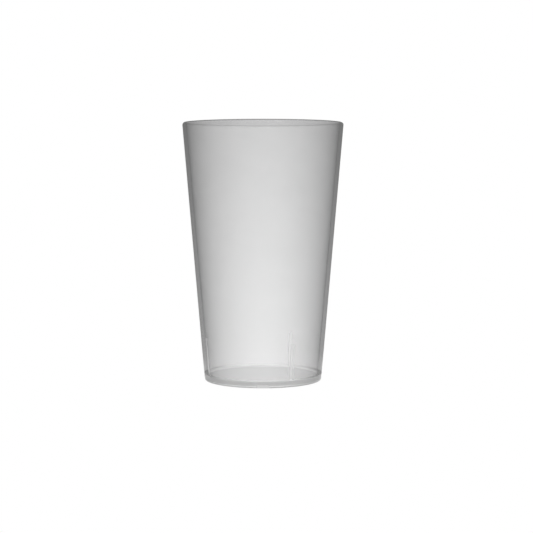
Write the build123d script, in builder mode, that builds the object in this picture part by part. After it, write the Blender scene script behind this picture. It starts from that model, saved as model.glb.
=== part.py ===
from build123d import *
from math import atan2, cos, radians, sin, tan
import os

os.makedirs("parts", exist_ok=True)

# Frame: +Z up, origin at the centre of the foot's resting plane, millimetres.
# One clear plastic moulding: a straight-tapered pint tumbler with a rounded lip,
# three stacking ribs low inside the wall, and a recessed floor on a foot ring
# that has two drain notches, one at the front (-Y) and one at the back (+Y).

# Overall form
height = 141.0
rim_diameter = 88.0
base_diameter = 64.3
wall_thickness = 2.05

# Lip
lip_outer_radius = 1.4
lip_inner_radius = 0.4

# Floor and foot
floor_top = 2.9
recess_depth = 1.0
recess_diameter = 57.0
floor_corner_radius = 0.8
foot_outer_radius = 1.0
foot_inner_radius = 0.4
recess_corner_radius = 0.5

# Drain notches through the foot ring
notch_count = 2
notch_first_angle = 90.0
notch_width = 6.2
notch_height = 1.6
notch_inset = 1.0

# Stacking ribs inside the wall
rib_count = 3
rib_first_angle = 180.0
rib_top = 22.6
rib_width = 2.0
rib_protrusion = 1.25
rib_embed = 0.8
rib_end_radius = 0.5

# Worked out from the above
rim_radius = rim_diameter / 2
base_radius = base_diameter / 2
recess_radius = recess_diameter / 2
notch_start = recess_radius - notch_inset
taper = atan2(rim_radius - base_radius, height)
wall_across = wall_thickness / cos(taper)
inner_rim_radius = rim_radius - wall_across
inner_floor_radius = base_radius + floor_top * tan(taper) - wall_across
rib_root_depth = floor_top - rib_embed
rib_root_radius = inner_floor_radius - rib_embed * tan(taper)
rib_length = (rib_top - rib_root_depth) / cos(taper)
rib_tip_centre = rib_protrusion - rib_width / 2

with BuildPart() as tumbler:
    # Wall, floor and foot ring as one turned profile
    with BuildSketch(Plane.XZ):
        with BuildLine():
            Polyline(
                (0, floor_top),
                (inner_floor_radius, floor_top),
                (inner_rim_radius, height),
                (rim_radius, height),
                (base_radius, 0),
                (recess_radius, 0),
                (recess_radius, recess_depth),
                (0, recess_depth),
                close=True,
            )
        make_face()
    revolve(axis=Axis.Z)

    # Rounded lip
    lip_circles = tumbler.edges().filter_by(GeomType.CIRCLE).group_by(Axis.Z)[-1].sort_by(SortBy.RADIUS)
    fillet(lip_circles[-1], radius=lip_outer_radius)
    lip_circles = tumbler.edges().filter_by(GeomType.CIRCLE).group_by(Axis.Z)[-1].sort_by(SortBy.RADIUS)
    fillet(lip_circles[0], radius=lip_inner_radius)

    # Inside corner between the floor and the wall
    floor_circles = tumbler.edges().filter_by(GeomType.CIRCLE).filter_by_position(Axis.Z, floor_top, floor_top)
    fillet(floor_circles, radius=floor_corner_radius)

    # Foot ring edges and the corner of the recess
    foot_circles = tumbler.edges().filter_by(GeomType.CIRCLE).group_by(Axis.Z)[0].sort_by(SortBy.RADIUS)
    fillet(foot_circles[-1], radius=foot_outer_radius)
    foot_circles = tumbler.edges().filter_by(GeomType.CIRCLE).group_by(Axis.Z)[0].sort_by(SortBy.RADIUS)
    fillet(foot_circles[0], radius=foot_inner_radius)
    recess_circles = tumbler.edges().filter_by(GeomType.CIRCLE).filter_by_position(
        Axis.Z, recess_depth, recess_depth
    )
    fillet(recess_circles, radius=recess_corner_radius)

    # Stacking ribs, round-nosed and leaning with the wall
    rib_angles = [radians(rib_first_angle + 360 * index / rib_count) for index in range(rib_count)]
    rib_planes = [
        Plane(
            origin=(rib_root_radius * cos(angle), rib_root_radius * sin(angle), rib_root_depth),
            x_dir=(-sin(angle), cos(angle), 0),
            z_dir=(sin(taper) * cos(angle), sin(taper) * sin(angle), cos(taper)),
        )
        for angle in rib_angles
    ]
    with BuildSketch(*rib_planes):
        with Locations((0, (rib_tip_centre - rib_embed) / 2)):
            Rectangle(rib_width, rib_tip_centre + rib_embed)
        with Locations((0, rib_tip_centre)):
            Circle(rib_width / 2)
    extrude(amount=rib_length)
    rib_ends = tumbler.faces().filter_by(GeomType.PLANE).filter_by_position(
        Axis.Z, rib_top - rib_width, rib_top + rib_width
    )
    rib_end_edges = rib_ends.edges().sort_by(SortBy.DISTANCE)
    fillet(rib_end_edges[:-rib_count], radius=rib_end_radius)

    # Drain notches through the foot ring, each starting a little inside the recess
    with BuildSketch(Plane.XY):
        with PolarLocations((notch_start + rim_radius) / 2, notch_count, start_angle=notch_first_angle):
            Rectangle(rim_radius - notch_start, notch_width)
    extrude(amount=notch_height, mode=Mode.SUBTRACT)

tumbler.part.label = "tumbler"
export_step(tumbler.part, "parts/tumbler.step")
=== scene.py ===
from math import asin, cos, degrees, pi, radians, sin, sqrt, tan

import bmesh
import bpy
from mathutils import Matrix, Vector


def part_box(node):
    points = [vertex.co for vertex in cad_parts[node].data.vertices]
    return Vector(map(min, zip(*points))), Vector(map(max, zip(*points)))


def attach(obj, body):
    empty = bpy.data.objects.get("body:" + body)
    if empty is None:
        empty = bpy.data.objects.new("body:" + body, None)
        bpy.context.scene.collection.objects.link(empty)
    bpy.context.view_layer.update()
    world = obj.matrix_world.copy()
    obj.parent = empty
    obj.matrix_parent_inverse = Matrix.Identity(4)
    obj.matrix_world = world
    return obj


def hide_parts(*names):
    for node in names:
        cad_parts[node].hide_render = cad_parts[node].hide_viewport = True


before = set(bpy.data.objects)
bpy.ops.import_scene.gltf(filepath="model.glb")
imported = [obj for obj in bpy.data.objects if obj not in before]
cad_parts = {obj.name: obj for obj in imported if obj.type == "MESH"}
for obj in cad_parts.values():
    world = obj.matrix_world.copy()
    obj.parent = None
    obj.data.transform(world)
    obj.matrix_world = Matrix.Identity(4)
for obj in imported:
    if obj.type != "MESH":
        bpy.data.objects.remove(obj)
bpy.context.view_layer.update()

# The object is one clear plastic moulding, so there is one piece: the tumbler itself,
# turned from its section with ribs and notches worked into the mesh, then a plain stage.

MM = 0.001

# ---------------------------------------------------------------- sizes, metres
LOW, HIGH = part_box("tumbler")
HEIGHT = HIGH[2] - LOW[2]
RIM_RADIUS = 44.0 * MM
BASE_RADIUS = 32.15 * MM
WALL = 2.05 * MM
SLOPE = (RIM_RADIUS - BASE_RADIUS) / HEIGHT
WALL_ACROSS = WALL * sqrt(1 + SLOPE ** 2)

LIP_OUTER_RADIUS = 1.4 * MM
LIP_INNER_RADIUS = 0.4 * MM

FLOOR_TOP = 2.9 * MM
FLOOR_CORNER_RADIUS = 0.8 * MM
RECESS_DEPTH = 1.0 * MM
RECESS_RADIUS = 28.5 * MM
RECESS_CORNER_RADIUS = 0.5 * MM
FOOT_OUTER_RADIUS = 1.0 * MM
FOOT_INNER_RADIUS = 0.4 * MM

NOTCH_WIDTH = 6.2 * MM
NOTCH_HEIGHT = 1.6 * MM
NOTCH_START = 27.5 * MM
NOTCH_ANGLES = (-90, 90)

RIB_ANGLES = (60, 180, 300)
RIB_TOP = 22.6 * MM
RIB_WIDTH = 2.0 * MM
RIB_PROTRUSION = 1.25 * MM
RIB_END_RADIUS = 0.5 * MM

# How finely the mesh is divided
COLUMN_STEP = 1.25
ARC_STEPS = 8
WALL_STEPS = 24
FLOOR_STEPS = 6
SUPPORT = 0.2 * MM
CREASE = 0.02 * MM
FEATURE_ZONE = 4.6 * MM
FEATURE_RADIUS = 26.0 * MM
NOSE_STEP = 15
NOTCH_SHARES = (0.3, 0.65)
RIB_MARGIN = 5 * CREASE
SHARP_ANGLE = 35.0

# Camera, as multiples of the height where it can be
CAMERA_DISTANCE = 4.912 * HEIGHT
CAMERA_HEIGHT = 0.7914 * HEIGHT
CAMERA_ASIDE = 0.0138 * HEIGHT
CAMERA_PITCH = 0.0712
CAMERA_LENS = 85.3
CAMERA_SENSOR = 36.0
CAMERA_NEAR = 0.01

# Plastic: how milky it is, where it is thick enough to bend the view, how worn, and the painted shade on
# top of the lip
PLASTIC_IOR = 1.5
WALL_ALPHA = 0.26
GRAZING_ALPHA = 0.8
GRAZING_POWER = 10.0
CLEAR_SHARE = 0.75
WORN_SHARE = 0.3
RIB_WEAR = 0.85
RING_WEAR = 0.45
WORN_ALPHA = 0.6
FOOT_EDGE = 1.1 * MM
ABSORPTION = 27.0
PALE = (0.885, 0.915)
HAZE_ROUGHNESS = (0.02, 0.07)
HAZE_ALPHA = (-0.012, 0.012)
HAZE_SIZE = 14.0 * MM
HAZE_DETAIL = 4.0
HAZE_SPAN = (0.3, 0.7)
SCUFF_SIZE = 0.9 * MM
SCUFF_DETAIL = 2.0
SCUFF_SPAN = (0.35, 0.65)
SCUFF_SHARE = (0.9, 1.05)
RIPPLE_HEIGHT = 0.01 * MM
FOOT_TOP = 3.7 * MM
# Painted shade: the top of the lip gets a darker colour and more cover, standing in for the view running
# down inside the wall
LIP_TOP = 0.5 * MM
LIP_ALPHA = 0.45
LIP_SHADE = 0.33

# Stage: the glow seen through the tumbler, from low to high and from the middle to the sides,
# with directions as slopes from the camera's side, then the room all round and the floor
# On the floor, this glow is a painted pool of light, brightest low down and straight ahead, as a lamp
# beside the camera would throw
GLOW_TOP = 0.44
GLOW_LOW = 0.9
GLOW_SKY = 0.042
GLOW_BOTTOM = -0.161
GLOW_WIDTH = 0.07
GLOW_SIDE = 0.7
ROOM_LIGHT = 0.9
ROOM_NEAR = 0.15
ROOM_FAR = 0.5
ROOM_SOFT = 0.05
ROOM_MIRRORED = 0.2
# Painted shade: the floor seen directly is darkened right under the foot, as if the tumbler shaded it
UNDER_SHADE = 0.6
# Painted pool of light round the foot, seen only in reflections
MIRROR_LIGHT = 0.9
MIRROR_NEAR = 40.0 * MM
MIRROR_FAR = 120.0 * MM
FLOOR_GAP = 0.1 * MM
FLOOR_RADIUS = 30.0
FLOOR_SIDES = 128

# Lights: two suns, front and back, and a spot on the foot
SUN_POWER = 2.76
SUN_SIZE = 10.0
SUN_TILT = 65.0
KEY_TURN = 2.0
BACK_TURN = 180.0
FOOT_POWER = 22.0
FOOT_CONE = 9.0
FOOT_LIGHT_SIZE = 0.05
FOOT_LIGHT_PLACE = (0.07, -2.0, 0.1)


# ---------------------------------------------------------------- section of the turned form
def wall_radius(height, inner):
    """Radius of the straight wall at a height, outside or inside."""
    outside = BASE_RADIUS + SLOPE * height
    return outside - WALL_ACROSS if inner else outside


def rounded_corner(before, corner, after, radius):
    """Points of the arc that rounds a corner between two straight runs."""
    to_before = (before - corner).normalized()
    to_after = (after - corner).normalized()
    half = to_before.angle(to_after) / 2
    centre = corner + (to_before + to_after).normalized() * radius / sin(half)
    start = corner + to_before * radius / tan(half) - centre
    end = corner + to_after * radius / tan(half) - centre
    sweep = start.angle(end)
    points = []
    for step in range(ARC_STEPS + 1):
        from_start = start * sin(sweep * (1 - step / ARC_STEPS))
        from_end = end * sin(sweep * step / ARC_STEPS)
        points.append(centre + (from_start + from_end) / sin(sweep))
    return points


def run_points(start, end, steps, heights=()):
    """Points between two places: even steps, one close to each end, and any wanted heights."""
    length = (end - start).length
    margin = SUPPORT / length
    shares = [margin + (1 - 2 * margin) * step / steps for step in range(steps + 1)]
    wanted = [(height - start.y) / (end.y - start.y) for height in heights]
    wanted = [share for share in wanted if 0 < share < 1]
    kept = [share for share in shares if all(abs(share - other) * length > CREASE for other in wanted)]
    return [start.lerp(end, share) for share in sorted(kept + wanted)]


def section():
    """The section from the floor's centre up inside, over the lip, down and under, in two lists."""
    floor_edge = Vector((wall_radius(FLOOR_TOP, True), FLOOR_TOP))
    lip_inside = Vector((wall_radius(HEIGHT, True), HEIGHT))
    lip_outside = Vector((RIM_RADIUS, HEIGHT))
    foot_outside = Vector((BASE_RADIUS, 0))
    foot_inside = Vector((RECESS_RADIUS, 0))
    recess_edge = Vector((RECESS_RADIUS, RECESS_DEPTH))
    floor_centre = Vector((0, FLOOR_TOP))
    recess_centre = Vector((0, RECESS_DEPTH))

    floor_arc = rounded_corner(floor_centre, floor_edge, lip_inside, FLOOR_CORNER_RADIUS)
    lip_inner_arc = rounded_corner(floor_edge, lip_inside, lip_outside, LIP_INNER_RADIUS)
    lip_outer_arc = rounded_corner(lip_inside, lip_outside, foot_outside, LIP_OUTER_RADIUS)
    foot_outer_arc = rounded_corner(lip_outside, foot_outside, foot_inside, FOOT_OUTER_RADIUS)
    foot_inner_arc = rounded_corner(foot_outside, foot_inside, recess_edge, FOOT_INNER_RADIUS)
    recess_arc = rounded_corner(foot_inside, recess_edge, recess_centre, RECESS_CORNER_RADIUS)

    rib_end_heights = [
        RIB_TOP - RIB_END_RADIUS * (1 - sin(radians(angle))) for angle in range(0, 91, NOSE_STEP)
    ]
    rib_end_heights += [RIB_TOP + CREASE, RIB_TOP + SUPPORT]
    notch_heights = [NOTCH_HEIGHT, NOTCH_HEIGHT + SUPPORT, FOOT_TOP - CREASE, FOOT_TOP + CREASE]
    notch_end = Vector((NOTCH_START, RECESS_DEPTH))
    past_notch = Vector((NOTCH_START - CREASE, RECESS_DEPTH))

    inside = [floor_centre] + run_points(floor_centre, floor_arc[0], FLOOR_STEPS)
    inside += floor_arc + run_points(floor_arc[-1], lip_inner_arc[0], WALL_STEPS, rib_end_heights)
    inside += lip_inner_arc
    outside = lip_outer_arc + run_points(lip_outer_arc[-1], foot_outer_arc[0], WALL_STEPS, notch_heights)
    outside += foot_outer_arc + run_points(foot_outer_arc[-1], foot_inner_arc[0], 2)
    outside += foot_inner_arc + recess_arc + [notch_end, past_notch]
    outside += run_points(past_notch, recess_centre, FLOOR_STEPS) + [recess_centre]
    return inside, outside


# ---------------------------------------------------------------- ribs and notches
def rib_depth(across, height):
    """How far a rib stands in from the wall, at a distance across it and a height."""
    nose = RIB_WIDTH / 2
    if height > RIB_TOP or abs(across) > nose:
        return 0.0
    depth = RIB_PROTRUSION - nose + sqrt(nose ** 2 - across ** 2)
    into_end = height - (RIB_TOP - RIB_END_RADIUS)
    if into_end > 0:
        drop = RIB_END_RADIUS - sqrt(max(RIB_END_RADIUS ** 2 - into_end ** 2, 0.0))
        depth = min(depth, RIB_PROTRUSION - drop)
    return depth


def rib_offsets():
    """Distances across a rib where the mesh has a column, close together round its nose."""
    nose = [-cos(radians(angle)) * RIB_WIDTH / 2 for angle in range(0, 181, NOSE_STEP)]
    edges = [RIB_WIDTH / 2 + gap for gap in (CREASE, SUPPORT, 4 * SUPPORT)]
    return sorted(nose + edges + [-edge for edge in edges])


def notch_offsets():
    """Distances across a notch where the mesh has a column, with a pair at each side wall."""
    half = [share * NOTCH_WIDTH / 2 for share in NOTCH_SHARES]
    half += [NOTCH_WIDTH / 2 + gap for gap in (-SUPPORT, 0, CREASE, SUPPORT)]
    return sorted([0.0] + half + [-offset for offset in half])


def columns():
    """Every column of the mesh as an anchor angle in degrees and a distance across from it."""
    features = [(angle % 360, offset) for angle in RIB_ANGLES for offset in rib_offsets()]
    features += [(angle % 360, offset) for angle in NOTCH_ANGLES for offset in notch_offsets()]
    zone = degrees(FEATURE_ZONE / BASE_RADIUS)
    anchors = {anchor for anchor, _ in features}
    plain = [(step * COLUMN_STEP, 0.0) for step in range(int(360 / COLUMN_STEP))]
    plain = [
        column for column in plain
        if all(abs((column[0] - anchor + 180) % 360 - 180) > zone for anchor in anchors)
    ]
    return sorted(plain + features, key=lambda column: column[0] + degrees(asin(column[1] / BASE_RADIUS)))


def place(anchor, across, depth, height):
    """A point from its column's anchor angle, distance across, depth from the axis and height."""
    angle = radians(anchor)
    return (
        depth * cos(angle) - across * sin(angle),
        depth * sin(angle) + across * cos(angle),
        LOW[2] + height,
    )


def across_and_depth(offset, radius):
    """Where a column crosses a radius: columns run straight outside, and close up towards the axis."""
    across = offset * min(radius / FEATURE_RADIUS, 1)
    return across, sqrt(radius ** 2 - across ** 2)


def column_points(anchor, offset, inside, outside):
    """One column of the mesh, with its share of a rib or a notch worked in."""
    has_rib = anchor in RIB_ANGLES
    has_notch = anchor - 360 in NOTCH_ANGLES or anchor in NOTCH_ANGLES
    points = []
    for row in inside[1:]:
        across, depth = across_and_depth(offset, row.x)
        if has_rib and row.y <= RIB_TOP:
            depth = min(depth, wall_radius(row.y, True) - rib_depth(across, row.y))
        points.append(place(anchor, across, depth, row.y))
    for row in outside[:-1]:
        across, depth = across_and_depth(offset, row.x)
        in_notch = has_notch and row.x >= NOTCH_START and abs(across) <= NOTCH_WIDTH / 2 + CREASE / 2
        height = max(row.y, NOTCH_HEIGHT) if in_notch else row.y
        points.append(place(anchor, across, depth, height))
    return points


# ---------------------------------------------------------------- where the plastic differs, and where shade is painted on the lip
def on_rib(point):
    """True for a point on one of the ribs."""
    height = point.z - LOW[2]
    return FLOOR_TOP < height <= RIB_TOP and point.xy.length < wall_radius(height, True) - RIB_MARGIN


def thick_share(point):
    """1 on the floor and the foot, which are thick enough to bend the view, and 0 above them."""
    return 1.0 if point.z - LOW[2] < FOOT_TOP else 0.0


def worn_share(point):
    """How much tables and stacked tumblers have rubbed a place: the foot's edge, its ring and the ribs."""
    height = point.z - LOW[2]
    if height < FOOT_TOP and point.xy.length > RECESS_RADIUS + MM:
        return 1.0 if height < FOOT_EDGE else RING_WEAR
    return RIB_WEAR if on_rib(point) else 0.0


def painted_lip_shade_share(point):
    """1 on the very top of the lip, where shade is painted into the colour and cover in place of the view
    running down inside the wall and darkening, and 0 below.
    """
    return 1.0 if point.z - LOW[2] > HEIGHT - LIP_TOP else 0.0


# ---------------------------------------------------------------- the tumbler's mesh
def make_tumbler():
    """Builds the closed mesh of the tumbler, and stores on it where the plastic differs and where shade is
    painted on the lip.
    """
    inside, outside = section()
    mesh = bpy.data.meshes.new("tumbler_body")
    form = bmesh.new()
    floor_centre = form.verts.new((0, 0, LOW[2] + FLOOR_TOP))
    recess_centre = form.verts.new((0, 0, LOW[2] + RECESS_DEPTH))
    grid = [
        [form.verts.new(point) for point in column_points(anchor, offset, inside, outside)]
        for anchor, offset in columns()
    ]
    for left, right in zip(grid, grid[1:] + grid[:1]):
        form.faces.new((floor_centre, left[0], right[0]))
        form.faces.new((recess_centre, right[-1], left[-1]))
        for row in range(len(left) - 1):
            form.faces.new((left[row], left[row + 1], right[row + 1], right[row]))
    bmesh.ops.recalc_face_normals(form, faces=form.faces)
    form.to_mesh(mesh)
    form.free()
    mesh.polygons.foreach_set("use_smooth", [True] * len(mesh.polygons))
    for name, share in (("thick", thick_share), ("worn", worn_share), ("lip", painted_lip_shade_share)):
        values = mesh.attributes.new(name, "FLOAT", "POINT")
        values.data.foreach_set("value", [share(vertex.co) for vertex in mesh.vertices])
    mesh.set_sharp_from_angle(angle=radians(SHARP_ANGLE))
    tumbler = bpy.data.objects.new("tumbler_body", mesh)
    bpy.context.collection.objects.link(tumbler)
    return tumbler


# ---------------------------------------------------------------- nodes
def math_node(nodes, links, operation, first, second):
    """The result of one sum on two values, each a socket or a plain number."""
    node = nodes.new("ShaderNodeMath")
    node.operation = operation
    for value, socket in zip((first, second), node.inputs):
        if isinstance(value, (int, float)):
            socket.default_value = value
        else:
            links.new(value, socket)
    return node.outputs["Value"]


def share_of_range(nodes, links, value, start, end, first, last, smooth=False):
    """A value mapped from one range to another and held at its ends."""
    node = nodes.new("ShaderNodeMapRange")
    node.interpolation_type = "SMOOTHSTEP" if smooth else "LINEAR"
    for name, number in zip(("From Min", "From Max", "To Min", "To Max"), (start, end, first, last)):
        node.inputs[name].default_value = number
    links.new(value, node.inputs["Value"])
    return node.outputs["Result"]


def mixed(nodes, links, share, first, second):
    """The first value where the share is 0 and the second where it is 1, each a socket or a number."""
    node = nodes.new("ShaderNodeMix")
    for value, name in ((share, "Factor"), (first, "A"), (second, "B")):
        if isinstance(value, (int, float)):
            node.inputs[name].default_value = value
        else:
            links.new(value, node.inputs[name])
    return node.outputs["Result"]


def distance_off(nodes, links, value):
    """The size of a value, whatever its sign."""
    return math_node(nodes, links, "ABSOLUTE", value, 0)


def mesh_value(nodes, name):
    """A value stored on the mesh, from 0 to 1."""
    node = nodes.new("ShaderNodeAttribute")
    node.attribute_name = name
    return node.outputs["Fac"]


def mottle(nodes, links, size, detail):
    """Soft random patches of about one size, in metres, as values round a half."""
    coordinates = nodes.new("ShaderNodeTexCoord")
    noise = nodes.new("ShaderNodeTexNoise")
    noise.inputs["Scale"].default_value = 1 / size
    noise.inputs["Detail"].default_value = detail
    links.new(coordinates.outputs["Object"], noise.inputs["Vector"])
    return noise.outputs["Fac"]


# ---------------------------------------------------------------- material
def plastic_alpha(nodes, links, haze):
    """How much each face covers what is behind it: little on the wall, more at a slant or where
    rubbed, and all of it where the plastic is thick and bends the view instead."""
    slant = nodes.new("ShaderNodeLayerWeight")
    slant.inputs["Blend"].default_value = 0.5
    rise = math_node(nodes, links, "POWER", slant.outputs["Facing"], GRAZING_POWER)
    rise = math_node(nodes, links, "MULTIPLY", rise, GRAZING_ALPHA - WALL_ALPHA)
    veils = [WALL_ALPHA + change for change in HAZE_ALPHA]
    veil = share_of_range(nodes, links, haze, *HAZE_SPAN, *veils)
    wall = math_node(nodes, links, "ADD", rise, veil)
    # Painted shade: more cover on top of the lip, so that its darkened colour shows
    lip = math_node(nodes, links, "MULTIPLY", mesh_value(nodes, "lip"), LIP_ALPHA)
    rubbed = math_node(nodes, links, "MULTIPLY", mesh_value(nodes, "worn"), WORN_ALPHA)
    thin = math_node(nodes, links, "MAXIMUM", math_node(nodes, links, "MAXIMUM", wall, lip), rubbed)
    return math_node(nodes, links, "MAXIMUM", thin, mesh_value(nodes, "thick"))


def plastic_clearness(nodes, links, scuffs):
    """How much of the thick plastic is clear: less where the foot ring is rubbed."""
    broken = share_of_range(nodes, links, scuffs, *SCUFF_SPAN, *SCUFF_SHARE)
    wear = math_node(nodes, links, "MULTIPLY", mesh_value(nodes, "worn"), broken)
    clear = share_of_range(nodes, links, wear, 0.0, 1.0, CLEAR_SHARE, WORN_SHARE)
    return math_node(nodes, links, "MULTIPLY", mesh_value(nodes, "thick"), clear)


def plastic_colour(nodes, links, haze):
    """A pale grey with a trace of cloudiness, and painted shade that darkens the top of the lip."""
    cloud = share_of_range(nodes, links, haze, *HAZE_SPAN, *PALE)
    # Painted shade: the colour is darkened on top of the lip
    lip = share_of_range(nodes, links, mesh_value(nodes, "lip"), 0.0, 1.0, 1.0, LIP_SHADE)
    return math_node(nodes, links, "MULTIPLY", cloud, lip)


def clear_plastic():
    """Clear moulded plastic: glossy, with a slight milky veil, a trace of wash haze, rubbed edges and
    painted shade on top of the lip.
    """
    material = bpy.data.materials.new("clear_plastic")
    material.use_nodes = True
    nodes = material.node_tree.nodes
    links = material.node_tree.links
    shader = nodes["Principled BSDF"]
    shader.inputs["IOR"].default_value = PLASTIC_IOR
    haze = mottle(nodes, links, HAZE_SIZE, HAZE_DETAIL)
    scuffs = mottle(nodes, links, SCUFF_SIZE, SCUFF_DETAIL)
    roughness = share_of_range(nodes, links, haze, *HAZE_SPAN, *HAZE_ROUGHNESS)
    links.new(plastic_colour(nodes, links, haze), shader.inputs["Base Color"])
    links.new(roughness, shader.inputs["Roughness"])
    links.new(plastic_alpha(nodes, links, haze), shader.inputs["Alpha"])
    links.new(plastic_clearness(nodes, links, scuffs), shader.inputs["Transmission Weight"])
    ripple = nodes.new("ShaderNodeBump")
    ripple.inputs["Distance"].default_value = RIPPLE_HEIGHT
    links.new(haze, ripple.inputs["Height"])
    links.new(ripple.outputs["Normal"], shader.inputs["Normal"])
    depth = nodes.new("ShaderNodeVolumeAbsorption")
    depth.inputs["Color"].default_value = (0, 0, 0, 1)
    depth.inputs["Density"].default_value = ABSORPTION
    links.new(depth.outputs["Volume"], nodes["Material Output"].inputs["Volume"])
    return material


# ---------------------------------------------------------------- stage
def view_rays(nodes, links):
    """Two sockets: 1 where the camera sees the stage itself, and 1 where it sees it through the tumbler."""
    path = nodes.new("ShaderNodeLightPath")
    camera = path.outputs["Is Camera Ray"]
    open_way = math_node(nodes, links, "LESS_THAN", path.outputs["Transparent Depth"], 1)
    direct = math_node(nodes, links, "MULTIPLY", camera, open_way)
    straight = math_node(nodes, links, "SUBTRACT", camera, direct)
    return direct, math_node(nodes, links, "ADD", straight, path.outputs["Is Transmission Ray"])


def backdrop_glow(nodes, links, aside, ahead, up):
    """Brightness of the stage in one direction: most low down and straight ahead, and even far off; on the
    floor it is a painted pool of light.
    """
    slope = math_node(nodes, links, "DIVIDE", up, ahead)
    turn = math_node(nodes, links, "DIVIDE", aside, ahead)
    rise = share_of_range(nodes, links, slope, GLOW_BOTTOM, GLOW_SKY, GLOW_LOW, GLOW_TOP)
    spread = share_of_range(nodes, links, turn, 0.0, GLOW_WIDTH, 1.0, GLOW_SIDE, True)
    glow = math_node(nodes, links, "MULTIPLY", rise, spread)
    off_axis = math_node(nodes, links, "MAXIMUM", slope, turn)
    far_off = share_of_range(nodes, links, off_axis, ROOM_NEAR, ROOM_FAR, 0.0, 1.0, True)
    return mixed(nodes, links, far_off, glow, ROOM_LIGHT)


def floor_glow(nodes, links):
    """Brightness of the floor for each kind of view of it, all painted light: a pool of light seen through
    the tumbler, a brighter patch round the foot in reflections, and white with painted shade under the foot
    when seen directly.
    """
    coordinates = nodes.new("ShaderNodeTexCoord")
    place = coordinates.outputs["Object"]
    distance = nodes.new("ShaderNodeVectorMath")
    distance.operation = "LENGTH"
    links.new(place, distance.inputs[0])
    away = distance.outputs["Value"]
    split = nodes.new("ShaderNodeSeparateXYZ")
    links.new(place, split.inputs["Vector"])
    aside = distance_off(nodes, links, split.outputs["X"])
    ahead = distance_off(nodes, links, split.outputs["Y"])
    ahead = math_node(nodes, links, "ADD", ahead, CAMERA_DISTANCE)
    # Painted pool of light: the floor seen through the tumbler is brightest low down and straight ahead
    glow = backdrop_glow(nodes, links, aside, ahead, -CAMERA_HEIGHT)
    # Painted pool of light: in reflections the floor is bright near the foot and dim farther off
    mirrored = share_of_range(
        nodes, links, away, MIRROR_NEAR, MIRROR_FAR, MIRROR_LIGHT, ROOM_MIRRORED, True
    )
    # Painted shade: seen directly, the floor is white except right under the foot, where it is darkened
    plain = share_of_range(nodes, links, away, BASE_RADIUS - MM, BASE_RADIUS, UNDER_SHADE, 1.0)
    direct, through = view_rays(nodes, links)
    return mixed(nodes, links, direct, mixed(nodes, links, through, mirrored, glow), plain)


def make_floor():
    """A pale floor that glows like a light table, just under the foot, with a painted pool of light and
    painted shade under the foot in its glow.
    """
    mesh = bpy.data.meshes.new("floor")
    form = bmesh.new()
    bmesh.ops.create_circle(form, cap_ends=True, segments=FLOOR_SIDES, radius=FLOOR_RADIUS)
    form.to_mesh(mesh)
    form.free()
    floor = bpy.data.objects.new("floor", mesh)
    floor.location.z = LOW[2] - FLOOR_GAP
    bpy.context.collection.objects.link(floor)
    material = bpy.data.materials.new("floor")
    material.use_nodes = True
    nodes = material.node_tree.nodes
    links = material.node_tree.links
    nodes.clear()
    light = nodes.new("ShaderNodeEmission")
    links.new(floor_glow(nodes, links), light.inputs["Strength"])
    output = nodes.new("ShaderNodeOutputMaterial")
    links.new(light.outputs["Emission"], output.inputs["Surface"])
    mesh.materials.append(material)
    floor.visible_diffuse = False


def hide_from_gloss(light):
    """Keeps a light from showing as a spot in reflections and through the plastic."""
    light.visible_glossy = False
    light.visible_transmission = False


def make_sun(name, turn):
    """A soft even light from above on one side, turned about the upright from the camera's side."""
    data = bpy.data.lights.new(name, "SUN")
    data.energy = SUN_POWER
    data.angle = radians(SUN_SIZE)
    sun = bpy.data.objects.new(name, data)
    sun.rotation_euler = (radians(SUN_TILT), 0, radians(turn))
    hide_from_gloss(sun)
    bpy.context.collection.objects.link(sun)


def make_foot_light():
    """A soft-edged spot beside the camera, aimed at the foot, so the tumbler is brighter low down."""
    data = bpy.data.lights.new("foot_light", "SPOT")
    data.energy = FOOT_POWER
    data.spot_size = radians(FOOT_CONE)
    data.spot_blend = 1.0
    data.shadow_soft_size = FOOT_LIGHT_SIZE
    spot = bpy.data.objects.new("foot_light", data)
    spot.location = FOOT_LIGHT_PLACE
    spot.rotation_euler = (-spot.location).to_track_quat("-Z", "Y").to_euler()
    hide_from_gloss(spot)
    bpy.context.collection.objects.link(spot)


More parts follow.
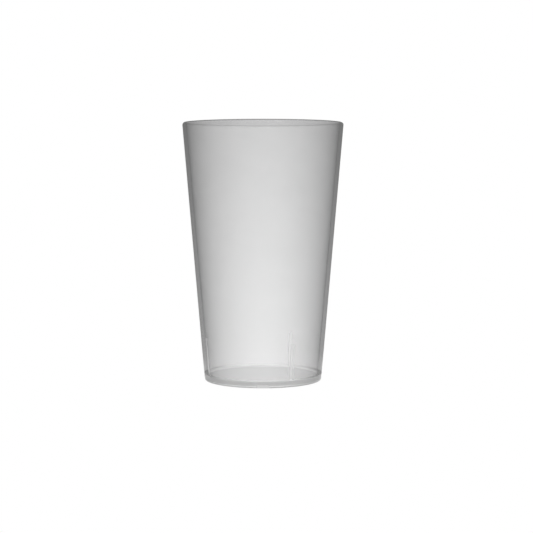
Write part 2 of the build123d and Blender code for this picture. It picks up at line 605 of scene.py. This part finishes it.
def world_glow(nodes, links):
    """Brightness of the world for each kind of view of it."""
    direct, through = view_rays(nodes, links)
    coordinates = nodes.new("ShaderNodeTexCoord")
    split = nodes.new("ShaderNodeSeparateXYZ")
    links.new(coordinates.outputs["Generated"], split.inputs["Vector"])
    aside = distance_off(nodes, links, split.outputs["X"])
    ahead = distance_off(nodes, links, split.outputs["Y"])
    glow = backdrop_glow(nodes, links, aside, ahead, split.outputs["Z"])
    paths = nodes.new("ShaderNodeLightPath")
    parts = (
        math_node(nodes, links, "MULTIPLY", through, glow),
        math_node(nodes, links, "MULTIPLY", paths.outputs["Is Glossy Ray"], ROOM_MIRRORED),
        math_node(nodes, links, "MULTIPLY", paths.outputs["Is Diffuse Ray"], ROOM_SOFT),
    )
    strength = direct
    for part in parts:
        strength = math_node(nodes, links, "ADD", strength, part)
    return strength


def make_studio():
    """White behind the tumbler, a glowing backdrop seen through it, and dim light all round."""
    world = bpy.data.worlds.new("studio")
    bpy.context.scene.world = world
    world.use_nodes = True
    nodes = world.node_tree.nodes
    links = world.node_tree.links
    nodes.clear()
    background = nodes.new("ShaderNodeBackground")
    background.inputs["Color"].default_value = (1, 1, 1, 1)
    links.new(world_glow(nodes, links), background.inputs["Strength"])
    output = nodes.new("ShaderNodeOutputWorld")
    links.new(background.outputs["Background"], output.inputs["Surface"])


def make_camera():
    """A camera at the eye level of someone seated, a little below the lip."""
    data = bpy.data.cameras.new("camera")
    data.lens = CAMERA_LENS
    data.sensor_width = CAMERA_SENSOR
    data.clip_start = CAMERA_NEAR
    camera = bpy.data.objects.new("camera", data)
    camera.location = (CAMERA_ASIDE, -CAMERA_DISTANCE, LOW[2] + CAMERA_HEIGHT)
    camera.rotation_euler = (pi / 2 - CAMERA_PITCH, 0, 0)
    bpy.context.collection.objects.link(camera)
    bpy.context.scene.camera = camera


make_camera()
tumbler = make_tumbler()
tumbler.data.materials.append(clear_plastic())
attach(tumbler, "root")
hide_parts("tumbler")
make_floor()
make_sun("key", KEY_TURN)
make_sun("back", BACK_TURN)
make_foot_light()
make_studio()
tumbler.visible_shadow = False
tumbler.visible_diffuse = False
bpy.context.scene.view_settings.view_transform = "Standard"
